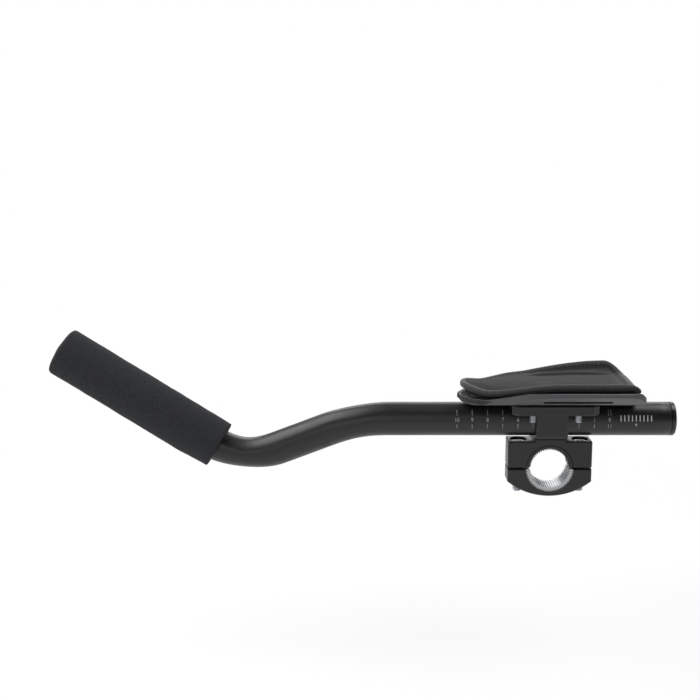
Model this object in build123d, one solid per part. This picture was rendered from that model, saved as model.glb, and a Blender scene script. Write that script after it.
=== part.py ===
from build123d import *
import math
import os

os.makedirs("parts", exist_ok=True)

# Aero handlebar extension, left side, in millimetres.
# The origin is the centre of the handlebar bore.
# +X runs to the rear of the tube, +Y along the handlebar to the inner side, +Z up.

# Handlebar clamp
BAR_BORE_R = 12.7
CLAMP_BORE_R = 15.9
CLAMP_HALF_LENGTH = 27.8
CLAMP_DEPTH = 15.6
CLAMP_TOP_Z = 18.3
SPLIT_GAP = 1.2
CAP_SIDE_Z = -9.1
CAP_BOTTOM_Z = -19.1
EDGE_BREAK = 0.6

# Serrated half shims
SHIM_FIT = 0.02
SHIM_GROOVE_DEPTH = 0.8
SHIM_GROOVE_WIDTH = 0.85
SHIM_OUTER_TEETH = 34
SHIM_INNER_TEETH = 28

# Clamp screws
CLAMP_BOLT_X = 20.5
M6_R = 3.0
M6_HEAD_R = 5.0
M6_HEAD_H = 6.0
M6_HOLE_R = 3.2
M6_COUNTERBORE_R = 5.7
M6_SOCKET_AF = 5.0
CLAMP_BOLT_TIP_Z = -17.4
CLAMP_HEAD_SINK = 1.4

# Extension tube
TUBE_R = 11.1
TUBE_WALL = 2.0
TUBE_AXIS_Z = 32.1
TUBE_REAR_X = 79.2
BEND_1 = (-123.7, 0.0, TUBE_AXIS_Z)
BEND_2 = (-204.7, 3.0, 3.3)
FRONT_POINT = (-324.9, 16.0, 75.0)
BEND_1_R = 109.0
BEND_2_R = 44.0
SLIDE_FIT = 0.05

# Foam grip and end plugs
GRIP_R = 16.5
GRIP_LENGTH = 123.0
GRIP_REAR_R = 15.2
GRIP_REAR_TAPER = 12.0
GRIP_EDGE_R = 2.5
PLUG_STEM = 16.0
FRONT_PLUG_R = 10.8
FRONT_PLUG_LENGTH = 4.0
FRONT_PLUG_CROWN = 2.5
REAR_PLUG_R = 11.2
REAR_PLUG_LENGTH = 2.8
REAR_PLUG_EDGE_R = 1.2

# Tube cradle on the clamp
CRADLE_HALF_LENGTH = 10.4
CRADLE_HALF_WIDTH = 14.5
CRADLE_LOW_Z = 20.9
NECK_FILLET_R = 3.0
EAR_TOP_Z = 37.8
EAR_THICKNESS = 6.0
EAR_END_Y = 28.5
PINCH_Y = 22.2
PINCH_WASHER_R = 6.0
PINCH_WASHER_H = 1.2

# Armrest bracket
BRACKET_X = (-27.5, 28.8)
BRACKET_NEAR_Y = -26.0
BRACKET_FAR_Y = 30.0
BRACKET_LOW_Z = 40.2
BRACKET_THICKNESS = 6.4
BRACKET_CORNER = 4.0
LIP_HEIGHT = 1.4
LIP_FIT = 0.1

# Arm cup
CUP_ARC_R = 30.0
CUP_ARC_DEG = 45.0
CUP_WALL = 3.0
CUP_FRONT_X = -60.6
CUP_REAR_X = 57.0
CUP_HALF_WIDTH = 40.0
CUP_NOSE = 64.0
CUP_NOSE_Y = -8.0
CUP_CORNER_R = 22.0
CUP_OUTER_CORNER_R = 10.5
CUP_EDGE_R = 1.2
CUP_SLOT_X = (-9.0, 35.0)
CUP_SLOT_HEIGHT = 1.8
CUP_SLOT_Z = 51.2
M5_R = 2.5
M5_HOLE_R = 2.7
M5_HEAD_R = 4.7
M5_HEAD_H = 2.2
M5_SOCKET_AF = 3.0
CUP_BOLT_X = (-13.7, 15.8)
CUP_BOLT_Y = -19.0
CUP_BOLT_TIP_Z = 34.4

# Pad and tapes
TAPE_THICKNESS = 1.4
TAPE_MARGIN = 1.4
TAPE_CORNER_R = 3.0
FRONT_TAPE_X = (-60.0, -24.0)
HOOK_INSET = 1.2
REAR_TAPE_X = (22.0, 47.0)
PAD_INSET = 3.5
PAD_REACH = 2.6
PAD_THICKNESS = 5.0
PAD_EDGE_THICKNESS = 3.2
PAD_RIM_GAP = 2.4
BINDING_WIDTH = 4.0
BINDING_EXTRA = 0.4

BRACKET_TOP_Z = BRACKET_LOW_Z + BRACKET_THICKNESS
CUP_FLOOR_Z = BRACKET_TOP_Z + CUP_WALL
PAD_LOW_Z = CUP_FLOOR_Z + 2 * TAPE_THICKNESS
TUBE_BORE_R = TUBE_R - TUBE_WALL
HALF_DEPTH = CLAMP_DEPTH / 2
CLAMP_HEAD_Z = CLAMP_TOP_Z - CLAMP_HEAD_SINK
CUP_FLOOR_HALF = CUP_HALF_WIDTH - CUP_ARC_R * math.sin(math.radians(CUP_ARC_DEG))
TAPE_HALF_WIDTH = CUP_FLOOR_HALF - TAPE_MARGIN
LOOP_INSET = PAD_INSET + BINDING_WIDTH + BINDING_EXTRA


def bend(before, corner, after, radius):
    """Start, middle and end of the arc that rounds a corner of the tube's centreline."""
    a = (before - corner).normalized()
    b = (after - corner).normalized()
    half_angle = a.get_angle(b) * math.pi / 360
    reach = radius / math.tan(half_angle)
    to_centre = (a + b).normalized()
    centre = corner + to_centre * (radius / math.sin(half_angle))
    return corner + a * reach, centre - to_centre * radius, corner + b * reach


REAR_POINT = Vector(TUBE_REAR_X, 0, TUBE_AXIS_Z)
CORNER_1 = Vector(*BEND_1)
CORNER_2 = Vector(*BEND_2)
GRIP_TIP = Vector(*FRONT_POINT)
GRIP_DIR = (GRIP_TIP - CORNER_2).normalized()
TUBE_FRONT = GRIP_TIP - GRIP_DIR * FRONT_PLUG_LENGTH
GRIP_PLANE = Plane(origin=GRIP_TIP - GRIP_DIR * GRIP_LENGTH, x_dir=(0, 1, 0), z_dir=GRIP_DIR)


def tube_path():
    """Centreline of the tube: straight run, first bend, slope, second bend, grip run."""
    s1, m1, e1 = bend(REAR_POINT, CORNER_1, CORNER_2, BEND_1_R)
    s2, m2, e2 = bend(CORNER_1, CORNER_2, GRIP_TIP, BEND_2_R)
    runs = [
        Line(REAR_POINT, s1),
        ThreePointArc(s1, m1, e1),
        Line(e1, s2),
        ThreePointArc(s2, m2, e2),
        Line(e2, TUBE_FRONT),
    ]
    return Wire([run.edge() for run in runs])


def cylinder_x(radius, x_from, x_to, y=0.0, z=0.0):
    """Cylinder along X between two stations."""
    plane = Plane(origin=(x_from, y, z), x_dir=(0, 1, 0), z_dir=(1, 0, 0))
    return extrude(plane * Circle(radius), x_to - x_from)


def cylinder_y(radius, half_length, x=0.0, z=0.0):
    """Cylinder along Y, centred on the handlebar's plane."""
    plane = Plane(origin=(x, -half_length, z), x_dir=(1, 0, 0), z_dir=(0, 1, 0))
    return extrude(plane * Circle(radius), 2 * half_length)


def cylinder_z(radius, z_from, z_to, x=0.0, y=0.0):
    """Cylinder along Z between two heights."""
    return extrude(Plane.XY.offset(z_from) * Pos(x, y) * Circle(radius), z_to - z_from)


def block(x_from, x_to, y_from, y_to, z_from, z_to):
    """Box between two corners."""
    low = (x_from, y_from, z_from)
    size = (x_to - x_from, y_to - y_from, z_to - z_from)
    return Pos(*low) * Box(*size, align=(Align.MIN, Align.MIN, Align.MIN))


def section_x(points, x_from, x_to):
    """Prism along X from a closed outline in Y and Z."""
    wire = Polyline(*[(x_from, y, z) for y, z in points], close=True)
    return extrude(make_face(wire), amount=x_to - x_from, dir=(1, 0, 0))


def extension_tube():
    """Aluminium tube, swept round its two bends."""
    path = tube_path()
    start = Plane(origin=REAR_POINT, x_dir=(0, 1, 0), z_dir=(-1, 0, 0))
    outside = sweep(start * Circle(TUBE_R), path=path)
    return outside - sweep(start * Circle(TUBE_BORE_R), path=path)


def foam_grip():
    """Foam sleeve: straight bore, a slightly drawn-in rear end and soft edges."""
    r_in = TUBE_R
    e = GRIP_EDGE_R
    soft = e * math.sqrt(0.5)
    top = GRIP_LENGTH
    outline = [
        Line((r_in, 0), (GRIP_REAR_R - e, 0)),
        ThreePointArc((GRIP_REAR_R - e, 0), (GRIP_REAR_R - e + soft, e - soft), (GRIP_REAR_R, e)),
        Line((GRIP_REAR_R, e), (GRIP_R, e + GRIP_REAR_TAPER)),
        Line((GRIP_R, e + GRIP_REAR_TAPER), (GRIP_R, top - e)),
        ThreePointArc((GRIP_R, top - e), (GRIP_R - e + soft, top - e + soft), (GRIP_R - e, top)),
        Line((GRIP_R - e, top), (r_in, top)),
        Line((r_in, top), (r_in, 0)),
    ]
    profile = Plane.XZ * make_face(Wire([run.edge() for run in outline]))
    return GRIP_PLANE * revolve(profile, Axis.Z)


def front_end_plug():
    """Plastic plug: stem in the tube, collar in the foam's bore and a domed face."""
    z_end = GRIP_LENGTH
    z_tube = GRIP_LENGTH - FRONT_PLUG_LENGTH
    rim = FRONT_PLUG_R - 0.6
    crown_r = (rim ** 2 + FRONT_PLUG_CROWN ** 2) / (2 * FRONT_PLUG_CROWN)
    half = math.asin(rim / crown_r) / 2
    z_mid = z_end + FRONT_PLUG_CROWN - crown_r * (1 - math.cos(half))
    outline = [
        Line((0, z_tube - PLUG_STEM), (TUBE_BORE_R, z_tube - PLUG_STEM)),
        Line((TUBE_BORE_R, z_tube - PLUG_STEM), (TUBE_BORE_R, z_tube)),
        Line((TUBE_BORE_R, z_tube), (FRONT_PLUG_R, z_tube)),
        Line((FRONT_PLUG_R, z_tube), (FRONT_PLUG_R, z_end - 0.6)),
        Line((FRONT_PLUG_R, z_end - 0.6), (rim, z_end)),
        ThreePointArc((rim, z_end), (crown_r * math.sin(half), z_mid), (0, z_end + FRONT_PLUG_CROWN)),
        Line((0, z_end + FRONT_PLUG_CROWN), (0, z_tube - PLUG_STEM)),
    ]
    profile = Plane.XZ * make_face(Wire([run.edge() for run in outline]))
    return GRIP_PLANE * revolve(profile, Axis.Z)


def rear_end_plug():
    """Plastic plug with a flange level with the tube."""
    stem = cylinder_x(TUBE_BORE_R, TUBE_REAR_X - PLUG_STEM, TUBE_REAR_X, z=TUBE_AXIS_Z)
    flange = cylinder_x(REAR_PLUG_R, TUBE_REAR_X, TUBE_REAR_X + REAR_PLUG_LENGTH, z=TUBE_AXIS_Z)
    rims = flange.edges().filter_by(GeomType.CIRCLE).sort_by(Axis.X)
    flange = fillet(rims[-1:], REAR_PLUG_EDGE_R)
    return stem + flange


def socket(af, x, y, z_from, z_to):
    """Hexagon recess of a screw head."""
    hexagon = RegularPolygon(af / math.sqrt(3), 6)
    return extrude(Plane.XY.offset(z_from) * Pos(x, y) * hexagon, z_to - z_from)


def clamp_body():
    """Upper half of the handlebar clamp with the cradle that carries the tube."""
    x = CLAMP_HALF_LENGTH
    half = block(-x, x, -HALF_DEPTH, HALF_DEPTH, SPLIT_GAP / 2, CLAMP_TOP_Z)
    half = chamfer(half.edges().group_by(Axis.Z)[1:], EDGE_BREAK)
    half -= cylinder_y(CLAMP_BORE_R, HALF_DEPTH + 1)

    root = CRADLE_HALF_LENGTH + NECK_FILLET_R
    neck_z = CLAMP_TOP_Z + NECK_FILLET_R
    neck = block(-root, root, -HALF_DEPTH + EDGE_BREAK, HALF_DEPTH - EDGE_BREAK, CLAMP_TOP_Z - 2, neck_z)
    for side in (-1, 1):
        neck -= cylinder_y(NECK_FILLET_R, HALF_DEPTH + 1, side * root, neck_z)

    w = CRADLE_HALF_WIDTH
    bore_r = TUBE_R + SLIDE_FIT
    ear_low = EAR_TOP_Z - EAR_THICKNESS
    lip_z = BRACKET_LOW_Z + LIP_HEIGHT
    cradle = section_x(
        [
            (-HALF_DEPTH, CLAMP_TOP_Z - 2), (-HALF_DEPTH, CRADLE_LOW_Z - 1.7), (-w + 2.6, CRADLE_LOW_Z),
            (-w + 0.8, CRADLE_LOW_Z + 0.9), (-w, CRADLE_LOW_Z + 2.6),
            (-w, lip_z), (-bore_r, lip_z), (-bore_r, TUBE_AXIS_Z),
            (bore_r, TUBE_AXIS_Z), (bore_r, EAR_TOP_Z), (EAR_END_Y, EAR_TOP_Z), (EAR_END_Y, ear_low),
            (w + 1.5, ear_low), (w, ear_low - 1.5), (w, CRADLE_LOW_Z + 2.6), (w - 0.8, CRADLE_LOW_Z + 0.9),
            (w - 2.6, CRADLE_LOW_Z), (HALF_DEPTH, CRADLE_LOW_Z - 1.7), (HALF_DEPTH, CLAMP_TOP_Z - 2),
        ],
        -CRADLE_HALF_LENGTH,
        CRADLE_HALF_LENGTH,
    )
    cradle = chamfer(cradle.faces().filter_by(Axis.X).edges(), EDGE_BREAK)
    body = half + neck + cradle
    body -= cylinder_x(bore_r, -root - 1, root + 1, z=TUBE_AXIS_Z)
    body -= cylinder_z(M6_HOLE_R, ear_low - 1, EAR_TOP_Z + 1, 0, PINCH_Y)
    seat_z = CLAMP_HEAD_Z - M6_HEAD_H
    for side in (-1, 1):
        body -= cylinder_z(M6_HOLE_R, 0, CLAMP_TOP_Z, side * CLAMP_BOLT_X)
        body -= cylinder_z(M6_COUNTERBORE_R, seat_z, CLAMP_TOP_Z + 1, side * CLAMP_BOLT_X)
    return body


def clamp_cap():
    """Lower half of the handlebar clamp, with straight sides and an arched underside."""
    x = CLAMP_HALF_LENGTH
    z_top = -SPLIT_GAP / 2
    rise = CAP_SIDE_Z - CAP_BOTTOM_Z
    arc_r = (x * x + rise * rise) / (2 * rise)
    mid_x = x * 0.55
    mid_z = CAP_BOTTOM_Z + arc_r - math.sqrt(arc_r * arc_r - mid_x * mid_x)
    outline = [
        Line((-x, z_top), (x, z_top)),
        Line((x, z_top), (x, CAP_SIDE_Z)),
        ThreePointArc((x, CAP_SIDE_Z), (mid_x, mid_z), (-x, CAP_SIDE_Z)),
        Line((-x, CAP_SIDE_Z), (-x, z_top)),
    ]
    profile = Plane.XZ * make_face(Wire([run.edge() for run in outline]))
    cap = extrude(profile, HALF_DEPTH, both=True)
    faces = cap.faces().filter_by(Axis.Y)
    cap = chamfer(faces.edges(), EDGE_BREAK)
    cap -= cylinder_y(CLAMP_BORE_R, HALF_DEPTH + 1)
    for side in (-1, 1):
        cap -= cylinder_z(M6_R, CAP_BOTTOM_Z - 1, 0, side * CLAMP_BOLT_X)
    return cap


def shim_grooves(radius, inward, count, side):
    """Row of small flat-bottomed grooves along Y, spread round one face of a half shim."""
    tip = radius + inward * SHIM_GROOVE_DEPTH
    mouth = radius - inward * 0.1
    half = SHIM_GROOVE_WIDTH / 2
    floor = half * 0.7
    wedge = make_face(Polyline((mouth, -half), (tip, -floor), (tip, floor), (mouth, half), close=True))
    plane = Plane(origin=(0, -HALF_DEPTH - 1, 0), x_dir=(1, 0, 0), z_dir=(0, -1, 0))
    cutters = []
    for i in range(count):
        angle = side * 180 * (i + 0.5) / count
        cutters.append(extrude(plane * Rot(0, 0, angle) * wedge, -CLAMP_DEPTH - 2))
    return cutters


def half_shim(side):
    """Half ring between bar and clamp, grooved along its length inside and outside."""
    r_out = CLAMP_BORE_R - SHIM_FIT
    ring = cylinder_y(r_out, HALF_DEPTH) - cylinder_y(BAR_BORE_R, HALF_DEPTH + 1)
    z_from, z_to = sorted((side * SPLIT_GAP / 2, side * (r_out + 1)))
    ring &= block(-r_out - 1, r_out + 1, -HALF_DEPTH, HALF_DEPTH, z_from, z_to)
    grooves = shim_grooves(r_out, -1, SHIM_OUTER_TEETH, side)
    grooves += shim_grooves(BAR_BORE_R, 1, SHIM_INNER_TEETH, side)
    return ring - grooves


def clamp_bolts():
    """Two socket head screws from the top of the clamp into the cap."""
    seat_z = CLAMP_HEAD_Z - M6_HEAD_H
    screws = []
    for side in (-1, 1):
        x = side * CLAMP_BOLT_X
        head = cylinder_z(M6_HEAD_R, seat_z, CLAMP_HEAD_Z, x)
        head = chamfer(head.edges().sort_by(Axis.Z)[-1:], 0.5)
        head -= socket(M6_SOCKET_AF, x, 0, CLAMP_HEAD_Z - 3.2, CLAMP_TOP_Z + 1)
        shank = cylinder_z(M6_R, CLAMP_BOLT_TIP_Z, seat_z, x)
        shank = chamfer(shank.edges().group_by(Axis.Z)[0], 0.6)
        screws.append(head + shank)
    return Compound(children=screws)


def armrest_bracket():
    """Plate over the tube: saddle below, cup screws on the outer side, pinch screw on the inner."""
    front, rear = BRACKET_X
    plate = block(front, rear, BRACKET_NEAR_Y, BRACKET_FAR_Y, BRACKET_LOW_Z, BRACKET_TOP_Z)
    plate = chamfer(plate.edges().filter_by(Axis.Z), BRACKET_CORNER)
    plate = chamfer(plate.edges().group_by(Axis.Z)[-1], EDGE_BREAK)
    plate = chamfer(plate.edges().group_by(Axis.Z)[0], 0.4)
    plate -= cylinder_x(TUBE_R + SLIDE_FIT, front - 1, rear + 1, z=TUBE_AXIS_Z)
    lip_x = CRADLE_HALF_LENGTH + LIP_FIT
    lip_y = (-CRADLE_HALF_WIDTH - LIP_FIT, -TUBE_R + LIP_FIT)
    plate -= block(-lip_x, lip_x, *lip_y, BRACKET_LOW_Z - 1, BRACKET_LOW_Z + LIP_HEIGHT)
    for x in CUP_BOLT_X:
        plate -= cylinder_z(M5_R, BRACKET_LOW_Z - 1, BRACKET_TOP_Z + 1, x, CUP_BOLT_Y)
    plate -= cylinder_z(M6_R, BRACKET_LOW_Z - 1, BRACKET_TOP_Z + 1, 0, PINCH_Y)
    return plate


def pinch_bolt():
    """Socket head screw from below that pulls the bracket down on the tube."""
    washer_low = EAR_TOP_Z - EAR_THICKNESS - PINCH_WASHER_H
    head_low = washer_low - M6_HEAD_H
    head = cylinder_z(M6_HEAD_R, head_low, washer_low, 0, PINCH_Y)
    head = chamfer(head.edges().sort_by(Axis.Z)[:1], 0.5)
    head -= socket(M6_SOCKET_AF, 0, PINCH_Y, head_low - 1, head_low + 3.2)
    shank = cylinder_z(M6_R, washer_low, BRACKET_TOP_Z - 0.5, 0, PINCH_Y)
    shank = chamfer(shank.edges().group_by(Axis.Z)[-1], 0.6)
    return head + shank


def pinch_washer():
    """Flat washer between the pinch screw's head and the ear."""
    high = EAR_TOP_Z - EAR_THICKNESS
    ring = cylinder_z(PINCH_WASHER_R, high - PINCH_WASHER_H, high, 0, PINCH_Y)
    return ring - cylinder_z(M6_HOLE_R, high - PINCH_WASHER_H - 1, high + 1, 0, PINCH_Y)


def cup_outline(inset, reach):
    """Plan of cup and pad: nose, straight outer side, curved inner side, round rear corners.

    The reach moves the nose forward from an even inset.
    """
    w = CUP_HALF_WIDTH - inset
    front = CUP_FRONT_X + inset - reach
    rear = CUP_REAR_X - inset
    r = max(CUP_CORNER_R - inset, 1.0)
    s = r * math.sqrt(0.5)
    q = max(CUP_OUTER_CORNER_R - inset, 1.0)
    t = q * math.sqrt(0.5)
    nose_y = CUP_NOSE_Y
    outer_x = CUP_FRONT_X + CUP_NOSE
    inner_x = rear - r
    runs = [
        EllipticalCenterArc((outer_x, nose_y), outer_x - front, w + nose_y, start_angle=180, arc_size=90),
        Line((outer_x, -w), (rear - q, -w)),
        ThreePointArc((rear - q, -w), (rear - q + t, -w + q - t), (rear, -w + q)),
        Line((rear, -w + q), (rear, w - r)),
        ThreePointArc((rear, w - r), (rear - r + s, w - r + s), (inner_x, w)),
        EllipticalCenterArc((inner_x, nose_y), inner_x - front, w - nose_y, start_angle=90, arc_size=90),
    ]
    return make_face(Wire([run.edge() for run in runs]))


def plan_prism(inset, reach=0.0):
    """Tall prism over the plan outline, used to trim the trough-shaped pieces."""
    height = CUP_WALL + CUP_ARC_R + 2 * TAPE_THICKNESS + PAD_THICKNESS
    return extrude(Plane.XY.offset(BRACKET_TOP_Z - CUP_WALL) * cup_outline(inset, reach), height)


def trough_edge(lift):
    """Floor height, arc middle and arc end of the trough's section, lifted off the cup's underside."""
    r = CUP_ARC_R - lift
    a = math.radians(CUP_ARC_DEG)
    z0 = BRACKET_TOP_Z + lift
    y_end = CUP_FLOOR_HALF + r * math.sin(a)
    z_end = z0 + r * (1 - math.cos(a))
    y_mid = CUP_FLOOR_HALF + r * math.sin(a / 2)
    z_mid = z0 + r * (1 - math.cos(a / 2))
    return z0, (y_mid, z_mid), (y_end, z_end)


def trough(lift_low, lift_high):
    """Shell of the trough section between two lifts, with a round rim, as a long prism."""
    z_low, mid_low, end_low = trough_edge(lift_low)
    z_high, mid_high, end_high = trough_edge(lift_high)
    f = CUP_FLOOR_HALF
    half_wall = (lift_high - lift_low) / 2
    a = math.radians(CUP_ARC_DEG)
    rim_y = (end_low[0] + end_high[0]) / 2 + half_wall * math.cos(a)
    rim_z = (end_low[1] + end_high[1]) / 2 + half_wall * math.sin(a)
    runs = [
        Line((-f, z_low), (f, z_low)),
        ThreePointArc((f, z_low), mid_low, end_low),
        ThreePointArc(end_low, (rim_y, rim_z), end_high),
        ThreePointArc(end_high, mid_high, (f, z_high)),
        Line((f, z_high), (-f, z_high)),
        ThreePointArc((-f, z_high), (-mid_high[0], mid_high[1]), (-end_high[0], end_high[1])),
        ThreePointArc((-end_high[0], end_high[1]), (-rim_y, rim_z), (-end_low[0], end_low[1])),
        ThreePointArc((-end_low[0], end_low[1]), (-mid_low[0], mid_low[1]), (-f, z_low)),
    ]
    return along_cup(make_face(Wire([run.edge() for run in runs])))


def along_cup(face):
    """Prism of a section in Y and Z over the whole length of the cup."""
    plane = Plane(origin=(CUP_FRONT_X - CUP_WALL, 0, 0), x_dir=(0, 1, 0), z_dir=(1, 0, 0))
    return extrude(plane * face, CUP_REAR_X - CUP_FRONT_X + 2 * CUP_WALL)


def arm_cup():
    """Moulded cup: trough-shaped shell trimmed to a hull with a round lower edge, slotted in each side."""
    hull = extrude(Plane.XY.offset(BRACKET_TOP_Z) * cup_outline(0, 0), CUP_WALL + CUP_ARC_R)
    hull = fillet(hull.edges().group_by(Axis.Z)[0], CUP_EDGE_R)
    cup = trough(0, CUP_WALL) & hull
    slot_from, slot_to = CUP_SLOT_X
    slot_low = CUP_SLOT_Z - CUP_SLOT_HEIGHT / 2
    for side in (-1, 1):
        y_from, y_to = sorted((side * CUP_FLOOR_HALF, side * (CUP_HALF_WIDTH + CUP_WALL)))
        cup -= block(slot_from, slot_to, y_from, y_to, slot_low, slot_low + CUP_SLOT_HEIGHT)
    for x in CUP_BOLT_X:
        cup -= cylinder_z(M5_HOLE_R, BRACKET_TOP_Z - 1, CUP_FLOOR_Z + 1, x, CUP_BOLT_Y)
        cup -= cylinder_z(M5_HEAD_R, CUP_FLOOR_Z, CUP_FLOOR_Z + CUP_WALL, x, CUP_BOLT_Y)
        cup -= countersink(x)
    return cup


def countersink(x):
    """Cone of a countersunk screw head, flush with the cup's floor."""
    cone = Cone(M5_R, M5_HEAD_R, M5_HEAD_H, align=(Align.CENTER, Align.CENTER, Align.MAX))
    return Pos(x, CUP_BOLT_Y, CUP_FLOOR_Z) * cone


def cup_bolts():
    """Two countersunk screws through the cup's floor into the bracket."""
    screws = []
    for x in CUP_BOLT_X:
        shank = cylinder_z(M5_R, CUP_BOLT_TIP_Z, CUP_FLOOR_Z - M5_HEAD_H, x, CUP_BOLT_Y)
        shank = chamfer(shank.edges().group_by(Axis.Z)[0], 0.5)
        screw = shank + countersink(x)
        screw -= socket(M5_SOCKET_AF, x, CUP_BOLT_Y, CUP_FLOOR_Z - 1.8, CUP_FLOOR_Z + 1)
        screws.append(screw)
    return Compound(children=screws)


def tape(stations, layer, inset):
    """One patch of hook tape (layer 0) or loop tape (layer 1) over the cup's flat floor."""
    z = CUP_FLOOR_Z + layer * TAPE_THICKNESS
    patch = block(*stations, -TAPE_HALF_WIDTH, TAPE_HALF_WIDTH, z, z + TAPE_THICKNESS)
    patch = fillet(patch.edges().filter_by(Axis.Z), TAPE_CORNER_R)
    return patch & plan_prism(inset)


def pad_section(extra):
    """Section of the pad, flat on the tapes and rising to both edges, as a long prism."""
    f = CUP_FLOOR_HALF
    edge_y = CUP_HALF_WIDTH - PAD_INSET + BINDING_EXTRA
    low = PAD_LOW_Z - extra
    high = PAD_LOW_Z + PAD_THICKNESS + extra
    rim_z = trough_edge(CUP_WALL)[2][1]
    edge_low = rim_z + PAD_RIM_GAP - extra
    edge_high = edge_low + PAD_EDGE_THICKNESS + 2 * extra
    runs = [
        Line((-f, low), (f, low)),
        TangentArc((f, low), (edge_y, edge_low), tangent=(1, 0)),
        Line((edge_y, edge_low), (edge_y, edge_high)),
        TangentArc((f, high), (edge_y, edge_high), tangent=(1, 0)),
        Line((f, high), (-f, high)),
        TangentArc((-f, high), (-edge_y, edge_high), tangent=(-1, 0)),
        Line((-edge_y, edge_high), (-edge_y, edge_low)),
        TangentArc((-f, low), (-edge_y, edge_low), tangent=(-1, 0)),
    ]
    return along_cup(make_face(Wire([run.edge() for run in runs])))


def arm_pad():
    """Foam pad inside its bound edge."""
    return pad_section(0) & plan_prism(PAD_INSET + BINDING_WIDTH, PAD_REACH)


def pad_binding():
    """Tape sewn round the pad's edge, a little thicker than the pad there."""
    band = plan_prism(PAD_INSET, PAD_REACH) - plan_prism(PAD_INSET + BINDING_WIDTH, PAD_REACH)
    return pad_section(BINDING_EXTRA) & band


PARTS = {
    "extension_tube": extension_tube(),
    "foam_grip": foam_grip(),
    "front_end_plug": front_end_plug(),
    "rear_end_plug": rear_end_plug(),
    "clamp_body": clamp_body(),
    "clamp_cap": clamp_cap(),
    "shim_upper": half_shim(1),
    "shim_lower": half_shim(-1),
    "clamp_bolts": clamp_bolts(),
    "armrest_bracket": armrest_bracket(),
    "pinch_bolt": pinch_bolt(),
    "pinch_washer": pinch_washer(),
    "arm_cup": arm_cup(),
    "cup_bolts": cup_bolts(),
    "hook_tape_front": tape(FRONT_TAPE_X, 0, HOOK_INSET),
    "hook_tape_rear": tape(REAR_TAPE_X, 0, HOOK_INSET),
    "loop_tape_front": tape(FRONT_TAPE_X, 1, LOOP_INSET),
    "loop_tape_rear": tape(REAR_TAPE_X, 1, LOOP_INSET),
    "arm_pad": arm_pad(),
    "pad_binding": pad_binding(),
}

for name, shape in PARTS.items():
    shape.label = name
    export_step(shape, f"parts/{name}.step")
    print(name, shape.bounding_box())
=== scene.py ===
# %% [markdown]
# # A clamp-on handlebar extension with a forearm pad
# The real object is a bent aluminium tube with a foam sleeve, held in a clamp that also carries a padded
# cup for the forearm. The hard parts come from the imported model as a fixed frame, in metres. This lesson
# adds what a drawing of solids lacks: foam, cloth, threads, print and finishes.

# %% Load the frame
import math

import bmesh
import bpy
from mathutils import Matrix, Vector, noise


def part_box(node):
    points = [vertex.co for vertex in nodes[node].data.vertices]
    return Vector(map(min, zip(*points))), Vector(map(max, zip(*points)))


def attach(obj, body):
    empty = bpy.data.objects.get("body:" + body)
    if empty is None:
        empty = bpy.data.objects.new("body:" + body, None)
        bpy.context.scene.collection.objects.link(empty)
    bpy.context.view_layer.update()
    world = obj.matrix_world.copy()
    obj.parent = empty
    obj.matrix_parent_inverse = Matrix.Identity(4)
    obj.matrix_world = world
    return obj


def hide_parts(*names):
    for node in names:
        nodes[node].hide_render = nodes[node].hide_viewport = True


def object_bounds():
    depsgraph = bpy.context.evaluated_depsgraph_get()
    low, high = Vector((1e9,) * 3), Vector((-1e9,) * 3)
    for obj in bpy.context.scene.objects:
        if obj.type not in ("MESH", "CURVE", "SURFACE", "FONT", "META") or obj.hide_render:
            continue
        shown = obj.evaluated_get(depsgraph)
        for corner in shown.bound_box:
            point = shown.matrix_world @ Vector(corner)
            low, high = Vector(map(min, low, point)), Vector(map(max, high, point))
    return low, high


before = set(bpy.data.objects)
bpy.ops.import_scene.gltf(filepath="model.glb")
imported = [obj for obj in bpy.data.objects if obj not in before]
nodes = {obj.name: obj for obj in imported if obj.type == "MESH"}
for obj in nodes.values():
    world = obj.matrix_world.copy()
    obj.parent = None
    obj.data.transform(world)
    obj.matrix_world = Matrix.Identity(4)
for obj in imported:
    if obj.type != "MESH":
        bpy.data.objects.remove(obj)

MM = 0.001
cad_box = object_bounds()

# %% [markdown]
# ## Sizes
# The few sizes that a box can't tell, such as radii and the line of the slanted grip, are written in
# millimetres in the step that first needs them.


# %% Sizes read from the frame, in millimetres
def corners(node):
    """Lowest and highest corner of a node in millimetres."""
    low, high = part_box(node)
    return low / MM, high / MM


TUBE_Z = sum(c.z for c in corners("rear_end_plug")) / 2
PAD_Z = corners("loop_tape_front")[1].z
HOOK_Z = corners("hook_tape_front")[1].z
print("tube axis at", round(TUBE_Z, 2), "pad rests at", round(PAD_Z, 2), "hooks stand at", round(HOOK_Z, 2))

# %% [markdown]
# ## Helpers for finishes
# A finish in Blender is a small graph of nodes. Colours are written as the hex values a painter would pick
# on screen, and one function turns them to the linear light that the renderer works in. One more function
# adds any node with its settings and links, so each finish reads as a short list. Another makes the two-tone
# ground that most finishes start from.


# %% Colour and node helpers
# sockets of a Mix node for colours
COLOUR_A, COLOUR_B, COLOUR_OUT = 6, 7, 2


def linear(hex_colour):
    """Linear RGBA from an sRGB hex value."""
    parts = [int(hex_colour[i:i + 2], 16) / 255 for i in (1, 3, 5)]
    return [c / 12.92 if c <= 0.04045 else ((c + 0.055) / 1.055) ** 2.4 for c in parts] + [1.0]


def feed(tree, node, inputs):
    """Sets sockets to values, or links them to another node's output."""
    for key, value in inputs.items():
        if isinstance(value, bpy.types.NodeSocket):
            tree.links.new(value, node.inputs[key])
        else:
            node.inputs[key].default_value = value


def add(tree, kind, inputs, **settings):
    """Adds a shader node with its settings and links."""
    node = tree.nodes.new("ShaderNode" + kind)
    for key, value in settings.items():
        setattr(node, key, value)
    feed(tree, node, inputs)
    return node


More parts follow.
